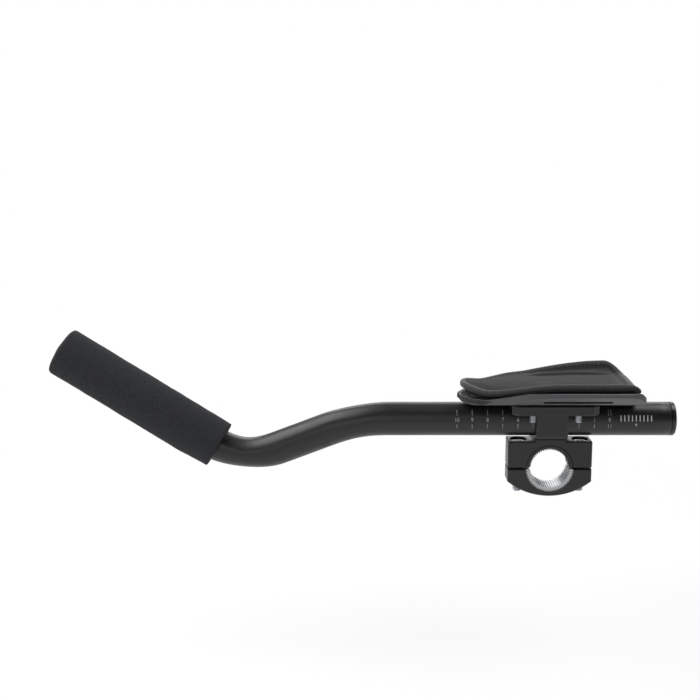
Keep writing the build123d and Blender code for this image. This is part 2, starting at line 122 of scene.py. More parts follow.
def finish(name):
    """New material: itself, its node tree, its shader and the place on the object in metres."""
    made = bpy.data.materials.new(name)
    made.use_nodes = True
    tree = made.node_tree
    place = add(tree, "TexCoord", {}).outputs["Object"]
    return made, tree, tree.nodes["Principled BSDF"], place


def per_mm(size):
    """Texture scale that repeats every so many millimetres."""
    return 1 / (size * MM)


def toned(name, low, high, size, detail):
    """Finish whose colour wanders between two tones over patches of a size, and the noise that does it."""
    made, tree, shader, place = finish(name)
    cloud = add(tree, "TexNoise", {"Vector": place, "Scale": per_mm(size), "Detail": detail}).outputs["Fac"]
    tone = add(tree, "Mix", {0: cloud, COLOUR_A: linear(low), COLOUR_B: linear(high)}, data_type="RGBA")
    feed(tree, shader, {"Base Color": tone.outputs[COLOUR_OUT]})
    return made, tree, shader, place, cloud


print("black reads as", [round(c, 4) for c in linear("#1d1e20")[:3]])

# %% [markdown]
# ## Black anodised aluminium
# Tube, clamp and bracket are blasted with fine beads and then anodised: a dyed oxide skin a hundredth of a
# millimetre thick. The eye sees a near-black surface with a soft grey sheen, because the oxide is a clear
# ceramic over a rough ground. So the shader is a dark dielectric, not a metal. The bead grit is about 0.1
# mm and too fine to show, so it is drawn about four times as coarse.


# %% Black anodised aluminium
def anodised_aluminium():
    made, tree, shader, place, cloud = toned("black_anodised_aluminium", "#0d0e0f", "#151618", 18, 3.0)
    grit = add(tree, "TexNoise", {"Vector": place, "Scale": per_mm(0.4), "Detail": 2.0})
    rough = add(tree, "MapRange", {"Value": cloud, "From Min": 0.3, "From Max": 0.7,
                                   "To Min": 0.35, "To Max": 0.43})
    bump = add(tree, "Bump", {"Height": grit.outputs["Fac"], "Strength": 0.12, "Distance": 0.05 * MM})
    feed(tree, shader, {"Roughness": rough.outputs["Result"], "Normal": bump.outputs["Normal"], "IOR": 1.5})
    return made


anodised = anodised_aluminium()
print("made", anodised.name)

# %% [markdown]
# ## Bare machined aluminium
# The half shim is cut from an extruded section and left bare, so it is bright between its grooves.
# Extrusion leaves faint lines along the bar, which stretch any reflection across them. A noise squeezed in
# X and Z and drawn out along Y gives those lines, 0.3 mm apart.


# %% Bare aluminium
def bare_aluminium():
    made, tree, shader, place = finish("bare_machined_aluminium")
    drawn = add(tree, "Mapping", {"Vector": place, "Scale": (1.0, 0.04, 1.0)})
    lines = add(tree, "TexNoise", {"Vector": drawn.outputs["Vector"], "Scale": per_mm(0.3), "Detail": 3.0})
    tone = add(tree, "Mix", {0: lines.outputs["Fac"], COLOUR_A: linear("#8f9193"),
                             COLOUR_B: linear("#bcbec0")}, data_type="RGBA")
    rough = add(tree, "MapRange", {"Value": lines.outputs["Fac"], "To Min": 0.26, "To Max": 0.42})
    bump = add(tree, "Bump", {"Height": lines.outputs["Fac"], "Strength": 0.15, "Distance": 0.03 * MM})
    feed(tree, shader, {"Base Color": tone.outputs[COLOUR_OUT], "Metallic": 1.0,
                        "Roughness": rough.outputs["Result"], "Normal": bump.outputs["Normal"]})
    return made


bare = bare_aluminium()
print("made", bare.name)

# %% [markdown]
# ## Zinc-plated steel
# The screws are steel with a bright zinc coat. Zinc crystals give a slightly cloudy mirror, so the shader
# is a full metal with a roughness that wanders over patches of about 2 mm.


# %% Zinc-plated steel
def plated_steel():
    made, tree, shader, _, patch = toned("zinc_plated_steel", "#b4b8bc", "#dfe3e7", 2.0, 4.0)
    rough = add(tree, "MapRange", {"Value": patch, "To Min": 0.3, "To Max": 0.48})
    feed(tree, shader, {"Metallic": 1.0, "Roughness": rough.outputs["Result"]})
    return made


zinc = plated_steel()
print("made", zinc.name)

# %% [markdown]
# ## Closed-cell foam
# The sleeve is nitrile foam, ground to size after it was blown. Grinding opens the outer cells, so the
# surface is dull and finely pitted, and slightly paler where it was rubbed. Pits are about 0.5 mm, drawn at
# 0.8 mm. A texture of cells gives them, because packed round cells look like blown foam, where plain noise
# would look like dust.


# %% Closed-cell foam
def sleeve_foam():
    made, tree, shader, place = finish("ground_nitrile_foam")
    pits = add(tree, "TexVoronoi", {"Vector": place, "Scale": per_mm(0.8)}, feature="SMOOTH_F1")
    mottle = add(tree, "TexNoise", {"Vector": place, "Scale": per_mm(1.6), "Detail": 4.0})
    rubbed = add(tree, "TexNoise", {"Vector": place, "Scale": per_mm(26), "Detail": 2.0})
    dark = add(tree, "Mix", {0: mottle.outputs["Fac"], COLOUR_A: linear("#27282a"),
                             COLOUR_B: linear("#38393b")}, data_type="RGBA")
    tone = add(tree, "Mix", {0: rubbed.outputs["Fac"], COLOUR_A: dark.outputs[COLOUR_OUT],
                             COLOUR_B: linear("#343537")}, data_type="RGBA")
    bump = add(tree, "Bump", {"Height": pits.outputs["Distance"], "Strength": 0.55, "Distance": 0.25 * MM})
    feed(tree, shader, {"Base Color": tone.outputs[COLOUR_OUT], "Roughness": 0.92, "IOR": 1.45,
                        "Specular IOR Level": 0.18, "Normal": bump.outputs["Normal"]})
    return made


foam = sleeve_foam()
print("made", foam.name)

# %% [markdown]
# ## Moulded plastics
# The cup is glass-filled nylon from a spark-eroded mould: even dark grey, satin, with a fine sandy grain.
# The two end plugs are polypropylene from a smoother mould, so they are blacker and a little glossier. One
# function makes both, because only colour, grain and gloss differ. The grain is a sixth of a millimetre
# wide and is drawn about three times as coarse.


# %% Moulded plastics
def moulded_plastic(name, low, high, grain, rough_from, rough_to, relief):
    made, tree, shader, place, _ = toned(name, low, high, 22, 2.0)
    sand = add(tree, "TexNoise", {"Vector": place, "Scale": per_mm(grain), "Detail": 3.0})
    rough = add(tree, "MapRange", {"Value": sand.outputs["Fac"], "To Min": rough_from, "To Max": rough_to})
    bump = add(tree, "Bump", {"Height": sand.outputs["Fac"], "Strength": relief, "Distance": 0.08 * MM})
    feed(tree, shader, {"Roughness": rough.outputs["Result"], "IOR": 1.5, "Normal": bump.outputs["Normal"]})
    return made


cup_nylon = moulded_plastic("spark_eroded_glass_nylon", "#46474a", "#535456", 0.45, 0.42, 0.58, 0.3)
plug_plastic = moulded_plastic("moulded_polypropylene", "#111213", "#18191a", 0.6, 0.26, 0.38, 0.08)
print("made", cup_nylon.name, "and", plug_plastic.name)

# %% [markdown]
# ## Cloth, tape and thread
# The pad is covered with a stretch polyester knit. Its loops are about 0.4 mm wide, too fine for this
# picture, so they are drawn at 1.8 mm: two waves across each other give the rows, a soft sheen gives the
# bloom of brushed yarn, and a slow noise gives the uneven stretch. The sewn-on edge tape has ribs across it
# instead, drawn 2 mm apart, so its waves follow the tape's own length, which its mesh carries as UVs in
# millimetres.


# %% Knitted cover
# a wave texture turns 20 radians in a unit, so this is its period at scale 1
WAVE_PERIOD = 2 * math.pi / 20


def knitted_polyester():
    made, tree, shader, place = finish("brushed_polyester_knit")
    loop = 1.7765
    waves = {"Vector": place, "Scale": WAVE_PERIOD * per_mm(loop), "Distortion": 0.6, "Detail": 1.0}
    rows = add(tree, "TexWave", waves, bands_direction="X")
    columns = add(tree, "TexWave", waves, bands_direction="Y")
    knit = add(tree, "Math", {0: rows.outputs["Fac"], 1: columns.outputs["Fac"]}, operation="MULTIPLY")
    stretch = add(tree, "TexNoise", {"Vector": place, "Scale": per_mm(11), "Detail": 4.0})
    yarn = add(tree, "Mix", {0: knit.outputs["Value"], COLOUR_A: linear("#1d1d1e"),
                             COLOUR_B: linear("#2c2c2d")}, data_type="RGBA")
    tone = add(tree, "Mix", {0: stretch.outputs["Fac"], COLOUR_A: yarn.outputs[COLOUR_OUT],
                             COLOUR_B: linear("#262627")}, data_type="RGBA")
    bump = add(tree, "Bump", {"Height": knit.outputs["Value"], "Strength": 0.35, "Distance": 0.15 * MM})
    feed(tree, shader, {"Base Color": tone.outputs[COLOUR_OUT], "Roughness": 0.85, "Specular IOR Level": 0.13,
                        "Sheen Weight": 0.11, "Sheen Roughness": 0.45, "Normal": bump.outputs["Normal"]})
    return made


knit = knitted_polyester()
print("made", knit.name)


# %% Ribbed edge tape
def ribbed_tape():
    made, tree, shader, place = finish("ribbed_polyester_tape")
    along = add(tree, "UVMap", {}).outputs["UV"]
    rib = 1.974
    ribs = add(tree, "TexWave", {"Vector": along, "Scale": WAVE_PERIOD / rib, "Distortion": 0.3},
               bands_direction="X")
    fuzz = add(tree, "TexNoise", {"Vector": place, "Scale": per_mm(5), "Detail": 4.0})
    thread = add(tree, "Mix", {0: ribs.outputs["Fac"], COLOUR_A: linear("#222223"),
                               COLOUR_B: linear("#343435")}, data_type="RGBA")
    tone = add(tree, "Mix", {0: fuzz.outputs["Fac"], COLOUR_A: thread.outputs[COLOUR_OUT],
                             COLOUR_B: linear("#2f2f30")}, data_type="RGBA")
    bump = add(tree, "Bump", {"Height": ribs.outputs["Fac"], "Strength": 0.4, "Distance": 0.2 * MM})
    feed(tree, shader, {"Base Color": tone.outputs[COLOUR_OUT], "Roughness": 0.8, "Sheen Weight": 0.3,
                        "Sheen Roughness": 0.4, "Normal": bump.outputs["Normal"]})
    return made


edge_tape = ribbed_tape()
print("made", edge_tape.name)


# %% Thread, hook tape and loop tape
def nylon_yarn(name, low, high, grain, rough):
    made, tree, shader, _, yarn = toned(name, low, high, grain, 4.0)
    bump = add(tree, "Bump", {"Height": yarn, "Strength": 0.6, "Distance": 0.3 * MM})
    feed(tree, shader, {"Roughness": rough, "Sheen Weight": 0.25, "Sheen Roughness": 0.5,
                        "Normal": bump.outputs["Normal"]})
    return made


thread = nylon_yarn("polyester_thread", "#1f1f20", "#303031", 0.4, 0.7)
hook_nylon = nylon_yarn("hook_tape_nylon", "#0a0a0b", "#171718", 0.7, 0.5)
loop_nylon = nylon_yarn("loop_tape_nylon", "#161617", "#2a2a2b", 0.5, 0.8)
print("made", thread.name, hook_nylon.name, loop_nylon.name)

# %% [markdown]
# ## Etched and printed marks
# The slide scale is etched through the black skin by a laser, which leaves a dull grey. The limit mark
# behind it is pad-printed and paler. Both let a little of the ground through, so the grey is broken up by a
# fine noise.


# %% Etched and printed marks
def printed_ink(name, low, high):
    made, tree, shader, _, _ = toned(name, low, high, 0.7, 3.0)
    feed(tree, shader, {"Roughness": 0.55})
    return made


scale_ink = printed_ink("etched_grey_scale", "#8b8d8f", "#adafb1")
mark_ink = printed_ink("pad_printed_pale_ink", "#c4c6c8", "#e2e4e6")
print("made", scale_ink.name, "and", mark_ink.name)

# %% [markdown]
# ## Dress the solids that stay
# Most rigid solids already have their true shape. They stay as they are, and only take a finish.

# %% Finishes on the CAD nodes
# the upper shim half takes the black finish and the lower half the bare one, so the upper half looks dark
# beside the bright lower half
DRESS = {
    anodised: ("clamp_body", "clamp_cap", "shim_upper", "armrest_bracket"),
    bare: ("shim_lower",),
    zinc: ("pinch_washer",),
    plug_plastic: ("front_end_plug", "rear_end_plug"),
    cup_nylon: ("arm_cup",),
    hook_nylon: ("hook_tape_front", "hook_tape_rear"),
    loop_nylon: ("loop_tape_front", "loop_tape_rear"),
}
for skin_finish, names in DRESS.items():
    for name in names:
        if nodes[name].material_slots:
            nodes[name].material_slots[0].material = skin_finish
        else:
            nodes[name].data.materials.append(skin_finish)
print("dressed", sum(len(names) for names in DRESS.values()), "solids")

# %% [markdown]
# ## Helpers for meshes
# Almost every new piece here is a skin over rings of points: a turned sleeve, a screw, a sewn roll. So one
# function joins rings with quads, and one turns points into an object that rides on a body of the frame.


# %% Mesh helpers
def skin(rings, loop=False):
    """Points and faces of a skin through rings of equally many points. A loop closes on its first ring."""
    count = len(rings[0])
    points = [p for ring in rings for p in ring]
    faces = []
    for k in range(len(rings) if loop else len(rings) - 1):
        low, high = k * count, (k + 1) % len(rings) * count
        for i in range(count):
            j = (i + 1) % count
            faces.append((low + i, low + j, high + j, high + i))
    if not loop:
        faces.append(tuple(reversed(range(count))))
        faces.append(tuple(range(len(points) - count, len(points))))
    return points, faces


def linked(name, data):
    """New object in the scene."""
    made = bpy.data.objects.new(name, data)
    bpy.context.scene.collection.objects.link(made)
    return made


def piece(name, points, faces, look, body, slot=None, crease=None):
    """Object from points in millimetres, riding on a body. Edges sharper than crease degrees stay sharp."""
    mesh = bpy.data.meshes.new(name)
    mesh.from_pydata([Vector(p) * MM for p in points], [], faces)
    sheet = bmesh.new()
    sheet.from_mesh(mesh)
    bmesh.ops.recalc_face_normals(sheet, faces=sheet.faces)
    sheet.to_mesh(mesh)
    sheet.free()
    mesh.polygons.foreach_set("use_smooth", [True] * len(mesh.polygons))
    if crease:
        mesh.set_sharp_from_angle(angle=math.radians(crease))
    mesh.materials.append(look)
    made = linked(name, mesh)
    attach(made, body)
    print(name, "has", len(mesh.polygons), "faces")
    return made


print("three rings of eight points make", len(skin([range(8)] * 3)[1]), "faces")

# %% [markdown]
# ## Bent tube
# A bending machine pulls the tube round a wheel, and the tube flattens a little in each bend: it gets
# narrower across the bend and wider the other way. The drawn solid keeps a true circle, so this piece takes
# its place. A curve with a round bevel would be quicker, but it keeps one section all along. So the tube is
# a skin over rings. It walks along straight runs and arcs within a millimetre of the drawn ones, with a
# ring every few millimetres, and each ring in a bend is squeezed, by up to an eighth in the tight one. The
# straight run that slides in the clamp stays a true circle, and its rear edge is broken by a small chamfer,
# so that the joint with the plug shows.


# %% Path of the tube
TUBE_REAR = Vector((corners("extension_tube")[1].x, 0.0, TUBE_Z))
GRIP_TIP = Vector((-324.9, 16.0, 75.0))
GRIP_BEND = Vector((-204.7, 3.0, 3.3))
# corner, radius and squeeze of each bend, from the rear
TUBE_BENDS = ((Vector((-127.5, 0.0, TUBE_Z)), 116.5, 0.04), (Vector((-203.3, 3.0, 2.3)), 54.0, 0.12))
TUBE_FRONT_GAP = 4.0
RING_STEP = 8
ARC_STEPS, TIP_STEPS = 30, 14


def tube_stations():
    """Point, direction, direction to the bend's middle and squeeze at each ring, from rear to front."""
    tip = GRIP_TIP - (GRIP_TIP - GRIP_BEND).normalized() * TUBE_FRONT_GAP
    at, found = TUBE_REAR, []
    places = [corner for corner, _, _ in TUBE_BENDS] + [tip]
    for k, (corner, radius, squeeze) in enumerate(TUBE_BENDS):
        into = (corner - at).normalized()
        away = (places[k + 1] - corner).normalized()
        turn = into.angle(away)
        start = corner - into * (radius * math.tan(turn / 2))
        inward = (away - into * into.dot(away)).normalized()
        hub = start + inward * radius
        run = (start - at).length
        count = max(2, round(run / RING_STEP))
        found += [(at.lerp(start, i / count), into, inward, 0.0) for i in range(count)]
        for i in range(ARC_STEPS + 1):
            a = turn * i / ARC_STEPS
            found.append((hub - inward * (radius * math.cos(a)) + into * (radius * math.sin(a)),
                          into * math.cos(a) + inward * math.sin(a),
                          inward * math.cos(a) - into * math.sin(a),
                          squeeze * math.sin(math.pi * i / ARC_STEPS) ** 2))
        at = hub - inward * (radius * math.cos(turn)) + into * (radius * math.sin(turn))
    end = (tip - at).normalized()
    found += [(at.lerp(tip, i / TIP_STEPS), end, found[-1][2], 0.0) for i in range(1, TIP_STEPS + 1)]
    return found


stations = tube_stations()
print(len(stations), "stations along the tube")


# %% Rings of the tube
TUBE_R, TUBE_BORE_R = 11.1, 9.1
TUBE_END_BREAK, TUBE_POINTS = 0.4, 72


def circle(count):
    """Angles round a circle."""
    return [2 * math.pi * i / count for i in range(count)]


def oval(middle, side, half_wide, up, half_high, count):
    """Ring of points round a middle, half_wide along side and half_high along up."""
    return [middle + side * (half_wide * math.cos(a)) + up * (half_high * math.sin(a)) for a in circle(count)]


def tube_ring(station, radius):
    """Ring round a station, narrower across the bend."""
    middle, along, inward, squeeze = station
    narrow, wide = radius * (1 - squeeze), radius * (1 + squeeze / 2)
    return oval(middle, inward, narrow, along.cross(inward), wide, TUBE_POINTS)


end_at, end_along, end_inward, _ = stations[0]
stations.insert(1, (end_at + end_along * TUBE_END_BREAK, end_along, end_inward, 0.0))
rings = [tube_ring(stations[0], TUBE_R - TUBE_END_BREAK)] + [tube_ring(s, TUBE_R) for s in stations[1:]]
rings += [tube_ring(s, TUBE_BORE_R) for s in reversed(stations)]
tube = piece("bent_tube", *skin(rings, loop=True), anodised, "extension", "black_anodised", crease=50)
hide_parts("extension_tube")

# %% [markdown]
# ## Foam sleeve
# The sleeve is pushed over the front run of the tube. A lathe-like skin gives its long body and soft front
# edge. The rear end is cut square and reaches the start of the bend, so its lower side draws in and its
# upper side runs straight on. Foam is never quite round, so each point moves in or out by about 0.2 mm at
# most. The noise comes from fixed places, so every run gives the same sleeve.


# %% Shape of the sleeve
GRIP_LENGTH = 123.0
GRIP_R, GRIP_REAR_R, GRIP_TAPER = 16.5, 16.0, 24.0
GRIP_EDGE_R, GRIP_CUT_R, GRIP_HUG = 2.5, 0.8, 0.9
SLEEVE_STEPS, EDGE_STEPS = 60, 6
GRIP_DIR = (GRIP_TIP - GRIP_BEND).normalized()
GRIP_SIDE = Vector((0, 1, 0)).cross(GRIP_DIR).normalized()
GRIP_UP = GRIP_DIR.cross(GRIP_SIDE)
GRIP_START = GRIP_TIP - GRIP_DIR * GRIP_LENGTH


def ease(t):
    """Smooth step from 0 to 1."""
    t = max(0.0, min(1.0, t))
    return t * t * (3 - 2 * t)


def on_grip(radius, along, angle):
    """Point in the grip's axis frame. Near the rear the section moves up as it gets smaller."""
    shift = (GRIP_R - GRIP_REAR_R) * (1 - ease(along / GRIP_TAPER)) if radius > TUBE_R else 0.0
    spoke = GRIP_SIDE * math.cos(angle) + GRIP_UP * math.sin(angle)
    return GRIP_START + GRIP_DIR * along + spoke * radius + GRIP_SIDE * shift


def sleeve_profile():
    """Radius and station of each ring, from the rear of the bore over the outside to its front."""
    edge, cut = GRIP_EDGE_R, GRIP_CUT_R
    turn = [math.pi / 2 * i / EDGE_STEPS for i in range(EDGE_STEPS + 1)]
    rear = [(GRIP_REAR_R - cut + cut * math.sin(a), cut - cut * math.cos(a)) for a in turn]
    last = GRIP_LENGTH - edge
    body = [cut + (last - cut) * i / SLEEVE_STEPS for i in range(1, SLEEVE_STEPS + 1)]
    body = [(GRIP_REAR_R + (GRIP_R - GRIP_REAR_R) * ease(s / GRIP_TAPER), s) for s in body]
    front = [(GRIP_R - edge + edge * math.cos(a), last + edge * math.sin(a)) for a in turn[1:]]
    return [(TUBE_R - GRIP_HUG, 0.0)] + rear + body + front + [(TUBE_R, GRIP_LENGTH)]


profile = sleeve_profile()
print(len(profile), "rings on the sleeve")


# %% Foam sleeve
SLEEVE_POINTS = 96
# depth and width of the foam's soft waves and of its fine ones
UNEVEN = ((0.2, 9.0), (0.08, 2.5))


def sleeve_ring(radius, along):
    """One ring of the sleeve, uneven on its outside."""
    ring = []
    for angle in circle(SLEEVE_POINTS):
        place = on_grip(radius, along, angle)
        uneven = sum(deep * noise.noise(place / wide) for deep, wide in UNEVEN)
        ring.append(on_grip(radius + (uneven if radius > TUBE_R else 0.0), along, angle))
    return ring


sleeve = piece("foam_sleeve", *skin([sleeve_ring(r, s) for r, s in profile], loop=True),
               foam, "extension", "grip_foam", crease=60)
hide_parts("foam_grip")

# %% [markdown]
# ## Screws
# A drawn solid shows a screw as plain cylinders. The real ones have a hexagon socket, a rolled thread and a
# chamfered tip, and the tips of the cup screws show below the bracket. A thread is a ring of points whose
# radius depends on height and angle together, so the groove climbs by one pitch in each turn.


# %% Screw helper
TURN = 48
THREAD_STEPS = 8
# groove of a thread: its depth in pitches, then the steepness of its flanks and the width of its root
GROOVE_DEPTH, FLANK, ROOT = 0.54, 2.4, 0.15
TIP_CHAMFER, TIP_SHARE = 0.8, 0.6
# socket: its drilled cone, and how far and how wide its mouth is broken
CONE_R, CONE_DEPTH, MOUTH_DEPTH, MOUTH_SHARE = 0.02, 0.6, 0.12, 1.04
FLOOR_BREAK, FLOOR_SHARE = 0.05, 0.96
SEAT_STEP = 0.01


def hexagon(across, angle):
    """Distance from the middle to a hexagon's side in the direction of the angle."""
    sector = math.pi / 3
    return across / 2 / math.cos((angle % sector) - sector / 2)


def thread_radius(radius, pitch, height, angle):
    """Radius of a rolled thread at a height and angle."""
    phase = (height / pitch - angle / (2 * math.pi)) % 1.0
    groove = GROOVE_DEPTH * pitch
    return radius - groove * max(0.0, min(1.0, FLANK * abs(phase - 0.5) - ROOT))


def screw(middle, head, socket, shank, direction):
    """Points and faces of one socket screw.

    middle: point on the axis at the top of the head.  head: list of (radius, depth) down the head's outside.
    socket: (across flats, depth).  shank: (radius, pitch, plain length, end depth).
    direction: 1 with the head up, -1 with the head down.
    """
    across, deep = socket
    radius, pitch, plain, end = shank
    seat = head[-1][1]
    angles = circle(TURN)

    def ring(radius_at, depth):
        return [(middle[0] + radius_at(a) * math.cos(a), middle[1] + radius_at(a) * math.sin(a),
                 middle[2] - direction * depth) for a in angles]

    rings = [ring(lambda a: CONE_R, deep + CONE_DEPTH)]
    walls = ((FLOOR_SHARE, deep), (1.0, deep - FLOOR_BREAK), (1.0, MOUTH_DEPTH), (MOUTH_SHARE, 0.0))
    for share, depth in walls:
        rings.append(ring(lambda a: share * hexagon(across, a), depth))
    rings += [ring(lambda a, r=r: r, depth) for r, depth in head]
    rings += [ring(lambda a: radius, seat + SEAT_STEP), ring(lambda a: radius, seat + plain)]
    steps = max(1, round((end - seat - plain) / (pitch / THREAD_STEPS)))
    for i in range(1, steps + 1):
        depth = seat + plain + (end - seat - plain) * i / steps
        tip = max(0.0, depth - (end - TIP_CHAMFER))
        rings.append(ring(lambda a: min(thread_radius(radius, pitch, depth, a), radius - tip), depth))
    rings.append(ring(lambda a: TIP_SHARE * (radius - TIP_CHAMFER), end))
    return skin(rings)


print("a 5 mm hexagon measures", round(2 * hexagon(5.0, 0.0), 2), "mm across its corners")

# %% [markdown]
# The clamp screws are M6 with cylinder heads sunk in the clamp's top, the pinch screw is the same kind from
# below, and the cup screws are M5 with countersunk heads. Their places come from the boxes of the solids
# they replace.


# %% Clamp, pinch and cup screws
M6_HEAD_R, M5_HEAD_R = 5.0, 4.7
M6_HEAD = [(4.5, 0.0), (4.8, 0.1), (M6_HEAD_R, 0.45), (M6_HEAD_R, 5.8), (4.8, 6.0)]
M5_HEAD = [(4.55, 0.0), (M5_HEAD_R, 0.15), (2.5, 2.2)]
M6_SOCKET, M5_SOCKET = (5.0, 3.2), (3.0, 1.6)


def merge(shapes):
    """One list of points and faces from several."""
    points, faces = [], []
    for some_points, some_faces in shapes:
        start = len(points)
        points += some_points
        faces += [tuple(i + start for i in face) for face in some_faces]
    return points, faces


def fasten(name, middles, head, socket, shank, direction):
    """Piece with a screw at each of the middles."""
    shapes = [screw(middle, head, socket, shank, direction) for middle in middles]
    return piece(name, *merge(shapes), zinc, "clamp", "plated_steel", crease=40)


low, high = corners("clamp_bolts")
places = [(side * (high.x - M6_HEAD_R), 0.0, high.z) for side in (-1, 1)]
clamp_screws = fasten("clamp_screws", places, M6_HEAD, M6_SOCKET, (3.0, 1.0, 8.0, high.z - low.z), 1)
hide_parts("clamp_bolts")
low, high = corners("pinch_bolt")
places = [((low.x + high.x) / 2, (low.y + high.y) / 2, low.z)]
pinch_screw = fasten("pinch_screw", places, M6_HEAD, M6_SOCKET, (3.0, 1.0, 2.0, high.z - low.z), -1)
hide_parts("pinch_bolt")
low, high = corners("cup_bolts")
places = [(x, (low.y + high.y) / 2, high.z) for x in (low.x + M5_HEAD_R, high.x - M5_HEAD_R)]
cup_screws = fasten("cup_screws", places, M5_HEAD, M5_SOCKET, (2.5, 0.8, 1.0, high.z - low.z), 1)
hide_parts("cup_bolts")

# %% [markdown]
# ## Plan of the cup and the pad
# Cup and pad have outlines of one kind seen from above: a nose in front, a straight outer side, round rear
# corners and a long curved inner side. Sewn pieces need points at even steps along it, so an outline is
# walked once in small steps and then spaced out evenly by length.


# %% Plan outline
CUP_FRONT_X, CUP_REAR_X, CUP_HALF_WIDTH = -60.6, 57.0, 40.0
CUP_NOSE, CUP_NOSE_Y = 64.0, -8.0
CUP_INNER_R, CUP_OUTER_R = 22.0, 10.5
PAD_SIDE_Y = corners("pad_binding")[1].y
PAD_INSET = CUP_HALF_WIDTH - PAD_SIDE_Y
PAD_REACH, PAD_NOSE_Y, PAD_INNER_R = 2.6, 0.0, 16.0
QUARTER_STEPS, OUTLINE_POINTS = 40, 360


def evenly(points, count):
    """Points at even steps round a closed line."""
    closed = points + points[:1]
    reach = [0.0]
    for a, b in zip(closed, closed[1:]):
        reach.append(reach[-1] + math.dist(a, b))
    spaced, k = [], 0
    for i in range(count):
        goal = reach[-1] * i / count
        while reach[k + 1] < goal:
            k += 1
        t = (goal - reach[k]) / (reach[k + 1] - reach[k])
        spaced.append(tuple(p + (q - p) * t for p, q in zip(closed[k], closed[k + 1])))
    return spaced


def plan(inset, count, reach=0.0, nose_y=CUP_NOSE_Y, inner_r=CUP_INNER_R):
    """Outline of the cup, drawn in by an inset, from the nose along the outer side.

    reach: how far the nose lies in front of an even inset.  nose_y: where the nose lies across.
    inner_r: radius of the cup's rear inner corner.
    """
    half = CUP_HALF_WIDTH - inset
    front, rear = CUP_FRONT_X + inset - reach, CUP_REAR_X - inset
    outer_x = CUP_FRONT_X + CUP_NOSE
    outer_r = CUP_OUTER_R - inset
    inner_r = inner_r - inset
    inner_x = rear - inner_r
    quarter = [math.pi / 2 * i / QUARTER_STEPS for i in range(QUARTER_STEPS)]
    corner = [(math.cos(a), math.sin(a)) for a in quarter]
    walk = [(outer_x - (outer_x - front) * c, nose_y - (half + nose_y) * s) for c, s in corner]
    walk += [(rear - outer_r + outer_r * s, outer_r - half - outer_r * c) for c, s in corner]
    walk += [(inner_x + inner_r * c, half - inner_r + inner_r * s) for c, s in corner]
    walk += [(inner_x - (inner_x - front) * s, nose_y + (half - nose_y) * c) for c, s in corner]
    return evenly(walk, count)


def pad_plan(inset, count):
    """Outline of the pad: its nose lies further in than the cup's, and its rear inner corner is tighter."""
    return plan(inset, count, PAD_REACH, PAD_NOSE_Y, PAD_INNER_R)


edge_line = pad_plan(PAD_INSET, OUTLINE_POINTS)
edge_length = sum(math.dist(a, b) for a, b in zip(edge_line, edge_line[1:] + edge_line[:1]))
print("pad outline is", round(edge_length), "mm round and", round(PAD_INSET, 2), "mm inside the cup's")

# %% [markdown]
# ## Forearm pad
# The pad is a thin foam cut to that outline, covered with knit and bound at its edge. It lies on the tapes
# in the middle, rises to both sides with the cup, and its nose and rear edge lift a little off the tape. It
# is thickest in the middle and pinched thin where the edge is sewn. It starts as a slightly thin shape.
# Blender's cloth then blows it up gently: the underside and the sewn edge are held, so only the cover
# swells, as stretched knit over foam does. The voxel step makes an even net for the cloth. Usually 4 to 6
# mm suits a cushion, but this pad is only 5 mm thick, so the net is finer.


# %% Heights of the pad
PAD_EDGE, PAD_MIDDLE, PAD_EDGE_RUN = 3.2, 5.4, 13.0
EDGE_Y = PAD_SIDE_Y + 0.4
OUTER_RISE, INNER_RISE = 10.0, 13.6
CUP_FLOOR_HALF = 18.8
# each fade: where it starts and over what length it grows
NOSE_LIFT, NOSE_FADE = 2.2, (-42.0, 18.0)
REAR_LIFT, REAR_FADE, SIDE_FADE = 2.3, (36.0, 15.0), (31.0, 14.0)
FLOOR_NARROWS, NARROW_FADE = 3.3, (-12.0, 16.0)


def rising(t, start, run):
    """0 up to a start, then growing smoothly to 1 over a run."""
    return ease((t - start) / run)


def falling(t, start, run):
    """The same, growing the other way."""
    return ease((start - t) / run)


def pad_under(x, y):
    """Height of the pad's underside."""
    rise = INNER_RISE if y > 0 else OUTER_RISE
    flat = CUP_FLOOR_HALF - (FLOOR_NARROWS * falling(x, *NARROW_FADE) if y > 0 else 0.0)
    run = EDGE_Y - flat
    bow = (run ** 2 + rise ** 2) / (2 * rise)
    out = max(0.0, abs(y) - flat)
    lift = NOSE_LIFT * falling(x, *NOSE_FADE)
    lift += REAR_LIFT * rising(x, *REAR_FADE) * falling(abs(y), *SIDE_FADE)
    return PAD_Z + lift + bow - math.sqrt(bow * bow - out * out)


def pad_over(x, y, to_edge):
    """Height of the pad's top, thinner towards its sewn edge."""
    return pad_under(x, y) + PAD_EDGE + (PAD_MIDDLE - PAD_EDGE) * ease(to_edge / PAD_EDGE_RUN)


print("pad's sides rise by", [round(pad_under(0.0, y) - PAD_Z, 1) for y in (-EDGE_Y, EDGE_Y)], "mm")

# %% Pad before the cloth
SPINE_FRONT, SPINE_REAR = -18.0, 22.0
BINDING_WIDTH, TUCK_SHARE = 4.0, 0.4
PAD_POINTS = 180
RING_SHARES = (0.04, 0.15, 0.3, 0.45, 0.6, 0.72, 0.82, 0.9, 0.96, 1.0)
# room that the thin shape leaves below, and above for the cloth to fill
ROOM_UNDER, ROOM_OVER = 0.1, 0.5


